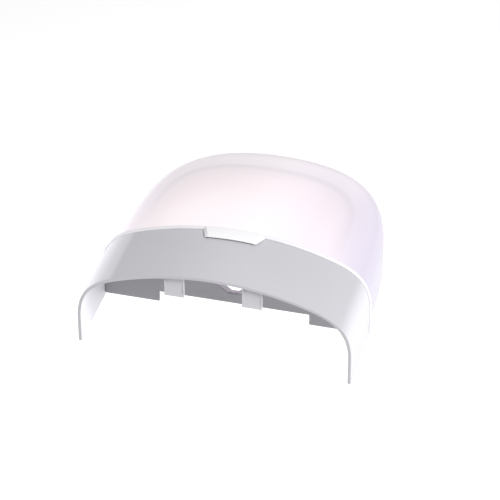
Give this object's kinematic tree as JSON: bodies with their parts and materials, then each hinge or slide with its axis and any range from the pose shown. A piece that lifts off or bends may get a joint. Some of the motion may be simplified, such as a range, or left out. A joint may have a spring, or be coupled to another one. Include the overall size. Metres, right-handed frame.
{
  "type": "garage door opener light cover",
  "caption": "Arched garage door opener light cover with a swinging translucent lens, a release tab and snap clips.",
  "frame": {"origin": "centre of the footprint, on the plane of the leg ends", "axes": "+X across the cover, +Y from the open mouth of the collar to the end of the lens, +Z from the leg ends up to the crown"},
  "size_m": [0.253, 0.2516, 0.0939],
  "materials": {
    "collar_grey": "satin moulded light grey plastic",
    "surround_white": "smooth white plastic",
    "lens_white": "translucent white plastic",
    "clip_grey": "satin light grey plastic",
    "pin_grey": "smooth grey plastic"
  },
  "bodies": {
    "collar": {"collar_shell": "collar_grey", "cross_rail": "collar_grey", "lens_surround": "surround_white", "hinge_ear_left": "collar_grey", "hinge_ear_right": "collar_grey", "hinge_pin_left": "pin_grey", "hinge_pin_right": "pin_grey"},
    "lens": {"lens_dome": "lens_white", "lens_pivot_left": "lens_white", "lens_pivot_right": "lens_white", "latch_tongue": "lens_white"},
    "release_tab": {"release_tab": "surround_white", "tab_plunger": "surround_white"},
    "clip_left": {"snap_clip_left": "clip_grey"},
    "clip_right": {"snap_clip_right": "clip_grey"}
  },
  "joints": [
    {"name": "lens_swing", "type": "hinge", "parent": "collar", "child": "lens", "pos_m": [0, -0.0445, 0.0072], "axis": [-1, 0, 0], "range_deg": [0, 75]},
    {"name": "release_tab_press", "type": "hinge", "parent": "collar", "child": "release_tab", "pos_m": [0, -0.0525, 0.0926], "axis": [1, 0, 0], "range_deg": [0, 4], "stiffness_Nm_per_rad": 0.3},
    {"name": "clip_left_flex", "type": "hinge", "parent": "collar", "child": "clip_left", "pos_m": [-0.03525, -0.12205, 0.08442], "axis": [1, 0, 0], "range_deg": [-4, 4], "stiffness_Nm_per_rad": 0.6},
    {"name": "clip_right_flex", "type": "hinge", "parent": "collar", "child": "clip_right", "pos_m": [0.03525, -0.12205, 0.08442], "axis": [1, 0, 0], "range_deg": [-4, 4], "stiffness_Nm_per_rad": 0.6}
  ]
}
